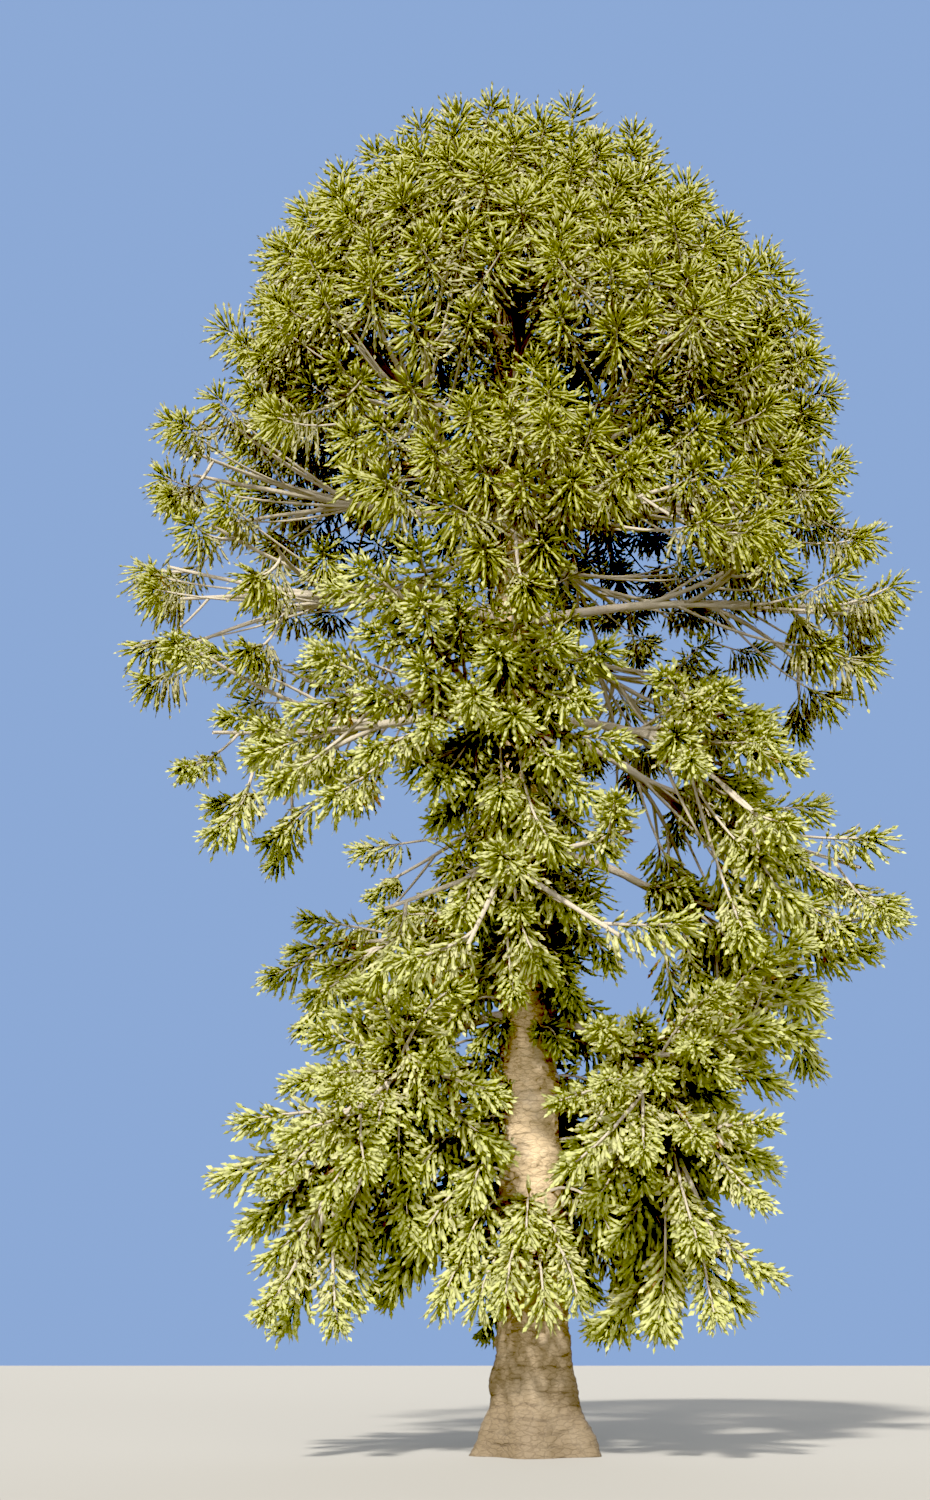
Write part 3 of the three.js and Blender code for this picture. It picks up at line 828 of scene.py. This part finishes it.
def makeTwigs(ring, tips):
    random = np.random.default_rng(twig["seed"] + len(ring["name"]))
    shares = np.linspace(0, twig["shootLength"], twig["shootSteps"])
    twigShares = np.linspace(0, 1, twig["steps"])
    twigRadii = lerp(twig["rootRadius"], twig["tipRadius"], twigShares)
    droop = droopOf(ring)
    rise = math.radians(byDroop(twig["tipRise"], droop))
    turnIn = byDroop(twig["turnIn"], droop)
    parts, twigs = [], []
    for plan in membersOf(ring):
        for shootPlan in plan["shoots"]:
            line = shootPlan["line"]
            rootRadius = shootPlan["radius"] * twig["shootGirth"]
            radii = lerp(rootRadius, shoot["neckRadius"], shares / twig["shootLength"])
            parts.append(limbTube(line, shares, radii, twig["shootSides"], random, twig["shootUnevenness"]))
            for k in range(plan["twigs"]):
                at = lerp(twig["firstAt"] * ring["leafyFrom"], twig["lastAt"], k / (plan["twigs"] - 1))
                foot, heading = onCurve(line, at), curveHeading(line, at)
                root, control, end = shootTo(next(tips), foot, heading, twig["parting"])
                length = np.linalg.norm(end - root)
                outward = unit((end - root) * [1, 1, 0])
                tipHeading = outward * math.cos(rise) + up * math.sin(rise)
                turned = end - tipHeading * twig["turnShare"] * min(length, twig["turnLength"])
                curve = (root, lerp(control, turned, turnIn), end)
                tube = limbTube(curve, twigShares, twigRadii, twig["sides"], random, twig["unevenness"])
                parts.append(tube)
                twigs.append({"line": curve, "length": length, "droop": droop})
    bark = barkMaterials["domeTwigBark" if ring["hang"] < twig["paleFrom"] else "twigBark"]
    makePiece(f"twigs_{ring['name']}", *joined(parts), bark, "bough_bark", nodesOf(ring), smooth=True)
    return twigs


twigTips = iter(planTwigTips(np.random.default_rng(twig["seed"])))
twigsByRing = {ring["name"]: makeTwigs(ring, twigTips) for ring in [*rings, top]}
print("twigs:", sum(len(twigs) for twigs in twigsByRing.values()))


# short leafy shoots on the trunk itself

sucker = {
    "count": 240,
    "heights": (9.0, 27.0),
    "reach": (0.4, 1.2),    # out from the trunk's surface
    "rise": 0.25,
    "aside": 0.4,           # how far to either side one may end, against its reach
    "sag": 0.15,
    "radius": 0.018,
    "taper": (1.3, 0.8),
    "steps": 6,
    "sides": 5,
    "unevenness": 0.1,
    "rootedAt": 0.9,        # share of the trunk's radius where they begin
    "ropes": 16,
    "droop": 0.5,
    # larger fronds that hang beside the trunk low down: bearing, height and reach
    "fronds": [
        (-48, 9.8, 1.9), (-66, 8.9, 1.5), (-30, 8.3, 1.4), (-100, 10.4, 1.6), (-108, 4.2, 1.0),
        (-128, 4.4, 1.5), (-150, 9.9, 2.2), (-168, 9.0, 2.6), (-142, 8.3, 1.8), (170, 7.6, 2.4),
        (-155, 7.0, 2.2), (-172, 6.2, 2.8), (-146, 5.8, 2.3), (-160, 5.0, 2.6), (178, 5.2, 3.2),
        (-166, 4.4, 1.8), (-20, 6.8, 1.3), (12, 7.6, 1.8), (-4, 5.6, 2.2), (22, 4.8, 1.6),
        (150, 8.6, 2.3), (95, 7.0, 1.8), (60, 9.0, 2.0), (120, 9.6, 2.0), (-72, 4.0, 0.9),
        (-50, 4.6, 1.6), (-32, 5.0, 2.3), (-10, 4.4, 2.1), (16, 4.2, 2.3), (-122, 5.4, 1.7),
        (-140, 4.8, 2.2), (-156, 4.2, 2.3), (164, 4.3, 2.6), (-176, 3.9, 2.2), (30, 6.2, 2.6),
        (-30, 6.4, 2.6), (146, 5.6, 3.0), (36, 3.9, 1.9), (-104, 3.7, 1.9), (-88, 3.4, 1.7),
        (-118, 3.5, 1.7), (-74, 3.6, 1.9), (-96, 4.4, 1.3), (-132, 3.7, 2.0), (-62, 9.3, 1.0),
        (-56, 8.5, 1.0), (-64, 7.7, 0.8), (-150, 8.8, 1.0), (-136, 7.8, 0.9), (-158, 7.2, 1.1),
        (-138, 6.6, 0.8), (-150, 6.0, 1.1), (-106, 11.0, 1.1), (-84, 10.6, 1.0), (-124, 10.2, 1.2),
        (-66, 10.6, 1.3),
    ],
    "frondRopes": 44,
    "frondFall": 0.55,      # how far a frond ends below its foot, against its reach
    "frondRise": 0.2,       # how it starts
    "frondBend": 0.6,
    "frondLength": 1.2,
    "frondRadii": (0.035, 0.016),
    "frondSteps": 8,
    "frondSides": 6,
    "frondDroop": 0.95,
    "seed": 51,
}


def onTrunk(height, turn):  # the way out and a place just inside the bark
    out = bearing(turn)
    return out, trunkAxis(height) + out * trunkRadius(height, math.radians(turn)) * sucker["rootedAt"]


def makeSuckers():
    random = np.random.default_rng(sucker["seed"])
    spots = [(random.uniform(-180, 180), random.uniform(*sucker["heights"])) for _ in range(sucker["count"])]
    shares = np.linspace(0, 1, sucker["steps"])
    radii = np.linspace(*sucker["taper"], sucker["steps"]) * sucker["radius"]
    parts, twigs, fronds = [], [], []
    for turn, height in spots:
        out, start = onTrunk(height, turn)
        aside = random.uniform(-sucker["aside"], sucker["aside"])
        reach = random.uniform(*sucker["reach"])
        end = start + (out + np.cross(up, out) * aside + up * sucker["rise"]) * reach
        line = (start, lerp(start, end, 0.5) - up * sucker["sag"] * reach, end)
        parts.append(limbTube(line, shares, radii, sucker["sides"], random, sucker["unevenness"]))
        twigs.append({"line": line, "length": reach, "droop": sucker["droop"]})
    shares = np.linspace(0, 1, sucker["frondSteps"])
    radii = np.linspace(*sucker["frondRadii"], sucker["frondSteps"])
    for turn, height, reach in sucker["fronds"]:
        out, start = onTrunk(height, turn)
        control = start + (out + up * sucker["frondRise"]) * reach * sucker["frondBend"]
        line = (start, control, start + (out - up * sucker["frondFall"]) * reach)
        parts.append(limbTube(line, shares, radii, sucker["frondSides"], random, sucker["unevenness"]))
        fronds.append({"line": line, "length": sucker["frondLength"] * reach, "droop": sucker["frondDroop"]})
    makePiece("twigs_trunk", *joined(parts), barkMaterials["twigBark"], "bough_bark", None, smooth=True)
    return twigs, fronds


suckers, fronds = makeSuckers()


# ropes: stiff leafy branchlets in a mop at the end of each twig

rope = {
    "perTwig": (50, 49, 44),
    "brush": (1.25, 0.95, 1.75),    # length of twig that a mop covers
    "brushShare": 0.9,              # and the most of the twig that it may be
    "length": (0.57, 0.60, 0.46),
    "mopSize": (0.75, 1.2),         # of the smallest mop and of the largest
    "thickness": (1.05, 0.93, 1.28),
    "flatness": (1.0, 0.9, 0.55),   # below 1 the ropes stand more to the twig's two sides
    "youngest": 0.78,               # the shortest rope, at the twig's tip, against the longest
    "crowding": (1.9, 1.5, 1.4),    # above 1 the ropes are closer towards the twig's tip
    "openTip": 16,                  # degrees off the twig
    "openBack": (100, 86, 56),
    "stray": 8,                     # degrees that a rope or a leaf may stand off its rule
    "weep": (0.55, 1.1, 0.25),      # how far the older ropes start downwards
    "sag": (0.42, 0.75, 0.50),
    "curl": (0.42, 0.45, 0.42),     # how far the ropes' ends turn up again
    "bendSpread": (0.6, 1.4),
    "sizeSpread": (0.85, 1.15),     # of ropes and of leaves
    "ageSpread": 0.12,
    "topShorter": 0.3,              # how much less the ropes on top of a drooping twig reach
    "coreRadius": 0.043,
    "youngGirth": 0.62,             # the youngest ropes' thickness against the others'
    "grownAt": 0.3,                 # where on the mop ropes reach their full length and thickness
    "widestAt": 0.8,                # where along itself a rope is thickest
    "endAt": 1.08,                  # where its core ends in a point, past the last leaf's foot
    "leaves": 6,
    "leafFrom": (0.05, 0.28),       # the bare part of a rope, at the mop's tip and deep in it
    "deepFrom": 0.5,
    "leafLength": 0.13,
    "leafWidth": 0.066,
    "leafSeat": 0.85,               # share of the core's radius where a leaf's foot is
    "leafMiddle": 0.45,             # where along itself a leaf is widest
    "leafOpen": (15, 8),            # degrees off the rope, at its foot and at its tip
    "fold": 0.12,                   # how deep a leaf is folded along its midrib, against its width
    "seed": 37,
}


def squareTo(heading):  # two directions square to each heading
    side = unit(np.cross(heading, up + np.array([0.01, 0.02, 0])))
    return side, np.cross(side, heading)


def growRopes(twigs, count, random):
    many = len(twigs)
    droop = np.array([one["droop"] for one in twigs])[:, None]
    length = np.array([one["length"] for one in twigs])[:, None]
    line = [np.array([one["line"][i] for one in twigs])[:, None] for i in range(3)]
    age = (np.arange(count) + 0.5) / count * np.ones((many, 1))
    covered = byDroop(rope["brush"], droop) * age ** byDroop(rope["crowding"], droop)
    at = 1 - np.minimum(covered / length, rope["brushShare"])
    start, heading = onCurve(line, at), curveHeading(line, at)
    side, lift = squareTo(heading)
    around = np.arange(count) * goldenAngle + random.uniform(0, 2 * math.pi, (many, 1))
    opening = lerp(rope["openTip"], byDroop(rope["openBack"], droop), age ** 0.5)
    opening = np.radians(opening + random.uniform(-rope["stray"], rope["stray"], (many, count)))
    upward = np.sin(around) * byDroop(rope["flatness"], droop)
    out = unit(side * np.cos(around)[..., None] + lift * upward[..., None])
    direction = heading * np.cos(opening)[..., None] + out * np.sin(opening)[..., None]
    direction = unit(direction - up * (byDroop(rope["weep"], droop) * age)[..., None])
    grown = np.clip(age / rope["grownAt"], 0, 1)
    shorter = 1 - rope["topShorter"] * droop * np.clip(upward, 0, 1)
    reach = byDroop(rope["length"], droop) * lerp(rope["youngest"], 1, grown) * shorter
    bend = random.uniform(*rope["bendSpread"], (many, count))
    size = random.uniform(*rope["sizeSpread"], (many, count))
    shape = {
        "start": start,
        "direction": direction,
        "reach": reach * size * random.uniform(*rope["mopSize"], (many, 1)),
        "girth": lerp(rope["youngGirth"], 1, grown) * byDroop(rope["thickness"], droop),
        "sag": byDroop(rope["sag"], droop) * bend * grown,
        "curl": byDroop(rope["curl"], droop) * bend * grown,
        "age": age + random.uniform(-rope["ageSpread"], rope["ageSpread"], (many, count)),
    }
    return {name: value.reshape(many * count, *value.shape[2:]) for name, value in shape.items()}


def ropePoint(ropes, share):  # share has one row for each rope
    reach = ropes["reach"][:, None]
    drop = reach * (ropes["curl"][:, None] * share ** 3 - ropes["sag"][:, None] * share ** 2)
    along = ropes["direction"][:, None] * (reach * share)[..., None]
    return ropes["start"][:, None] + along + up * drop[..., None]


def ropeHeading(ropes, share):
    slope = 3 * ropes["curl"][:, None] * share ** 2 - 2 * ropes["sag"][:, None] * share
    return unit(ropes["direction"][:, None] + up * slope[..., None])


def ropeCores(ropes, chosen):  # a slim three-sided spindle in each rope
    ropes = {name: value[chosen] for name, value in ropes.items()}
    many = len(ropes["reach"])
    share = np.array([0.0, rope["widestAt"], rope["endAt"]]) * np.ones((many, 1))
    foot, middle, tip = ropePoint(ropes, share).transpose(1, 0, 2)[:, :, None]
    side, lift = squareTo(ropeHeading(ropes, share[:, 1:2]))
    around = evenTurns(3)[:, None]
    radius = (rope["coreRadius"] * ropes["girth"])[:, None, None]
    rim = middle + (side * np.cos(around) + lift * np.sin(around)) * radius
    points = np.concatenate([foot, rim, tip], axis=1)
    faces = np.array([(0, 2, 1), (0, 3, 2), (0, 1, 3), (1, 2, 4), (2, 3, 4), (3, 1, 4)])
    return points.reshape(-1, 3), (faces + 5 * np.arange(many)[:, None, None]).reshape(-1, 3)


def ropeLeaves(ropes, random):  # four corners for each leaf, and how far along its rope it stands
    many, count = len(ropes["reach"]), rope["leaves"]
    leafFrom = lerp(*rope["leafFrom"], np.clip(ropes["age"][:, None] / rope["deepFrom"], 0, 1))
    share = lerp(leafFrom, 1, np.arange(count) / (count - 1))
    heading = ropeHeading(ropes, share)
    side, lift = squareTo(heading)
    girth = ropes["girth"][:, None, None]
    around = np.arange(count) * goldenAngle + random.uniform(0, 2 * math.pi, (many, 1))
    out = side * np.cos(around)[..., None] + lift * np.sin(around)[..., None]
    surface = np.interp(share, (0, rope["widestAt"], rope["endAt"]), (0, rope["leafSeat"], 0))[..., None]
    foot = ropePoint(ropes, share) + out * rope["coreRadius"] * girth * surface
    stray = random.uniform(-rope["stray"], rope["stray"], (many, count))
    opening = np.radians(lerp(*rope["leafOpen"], share) + stray)[..., None]
    direction = heading * np.cos(opening) + out * np.sin(opening)
    across = np.cross(heading, out)
    face = np.cross(direction, across)
    size = random.uniform(*rope["sizeSpread"], (many, count))[..., None] * girth
    length, width = rope["leafLength"] * size, rope["leafWidth"] * size
    middle = foot + direction * length * rope["leafMiddle"] + face * width * rope["fold"]
    corners = [foot, middle + across * width / 2, foot + direction * length, middle - across * width / 2]
    return np.stack(corners, axis=2), share


# a rope's leaves by its age, about 0 at the mop's tip and 1 deep in it
# the pairs under kinds and under the painted highlight's start share are for the dome and for the lowest
# skirt
ageing = {
    "kinds": {"fresh": (0.42, 0.6), "mature": (0.6, 0.88), "old": (9.0, 9.0)},   # up to these ages
    "glintTipFrom": (0.5, 1.3),      # painted highlight at the rope's end: share along the rope, so above 1 there are none
    "glintTipAges": (0.45, 1.1),
    "oldCore": 0.6,
    "deadFrom": 0.7,
    "deadShare": 0.02,
    "lowFrom": 0.9,             # limbs that droop more are the lowest, their ropes painted paler for the light that reaches them
    "litLowKinds": {"fresh": "litLowFresh", "mature": "litLowMature"},
}


def leafKinds(age, share, droop, random):  # which leaves are of each kind
    dead = (random.uniform(0, 1, (len(age), 1)) < ageing["deadShare"] * droop) & (age > ageing["deadFrom"])
    youngest, oldest = ageing["glintTipAges"]
    # painted highlight: the paler tip leaves on ropes of middle age
    glintTip = ~dead & (share > lerp(*ageing["glintTipFrom"], droop)) & (age > youngest) & (age < oldest)
    kinds = {"dead": dead, "glintTip": glintTip}
    floorAge = -1.0
    for kind, ceilings in ageing["kinds"].items():
        ceilingAge = lerp(*ceilings, droop)
        kinds[kind] = ~dead & ~glintTip & (age >= floorAge) & (age < ceilingAge)
        floorAge = ceilingAge
    return kinds


def makeRopes(name, twigs, count, nodes, droop):
    random = np.random.default_rng(rope["seed"] + len(name) * 7 + len(twigs))
    ropes = growRopes(twigs, count, random)
    isLow = droop > ageing["lowFrom"]
    isOld = ropes["age"] >= ageing["oldCore"]
    # the lowest limbs take the lighter, painted-light stem and leaf tints
    for kind, chosen in (("young", ~isOld), ("old", isOld)):
        material = stemMaterials["low" if isLow else kind]
        makePiece(f"cores_{kind}_{name}", *ropeCores(ropes, chosen), material, "foliage", nodes, smooth=True)
    corners, share = ropeLeaves(ropes, random)
    age = ropes["age"][:, None] + 0 * share
    for kind, chosen in leafKinds(age, share, droop, random).items():
        if chosen.any():
            points = corners[chosen].reshape(-1, 3)
            faces = np.array([(0, 1, 2), (0, 2, 3)]) + 4 * np.arange(chosen.sum())[:, None, None]
            material = leafMaterials[ageing["litLowKinds"].get(kind, kind) if isLow else kind]
            makePiece(f"leaves_{kind}_{name}", points, faces.reshape(-1, 3), material, "foliage", nodes)
    return len(ropes["reach"])


ropeCount = makeRopes("trunk", suckers, sucker["ropes"], None, sucker["droop"])
ropeCount += makeRopes("trunk_low", fronds, sucker["frondRopes"], None, sucker["frondDroop"])
for ring in [*rings, top]:
    droop = droopOf(ring)
    count = round(byDroop(rope["perTwig"], droop))
    ropeCount += makeRopes(ring["name"], twigsByRing[ring["name"]], count, nodesOf(ring), droop)
print("ropes:", ropeCount, "with", ropeCount * (6 + 2 * rope["leaves"]), "triangles")
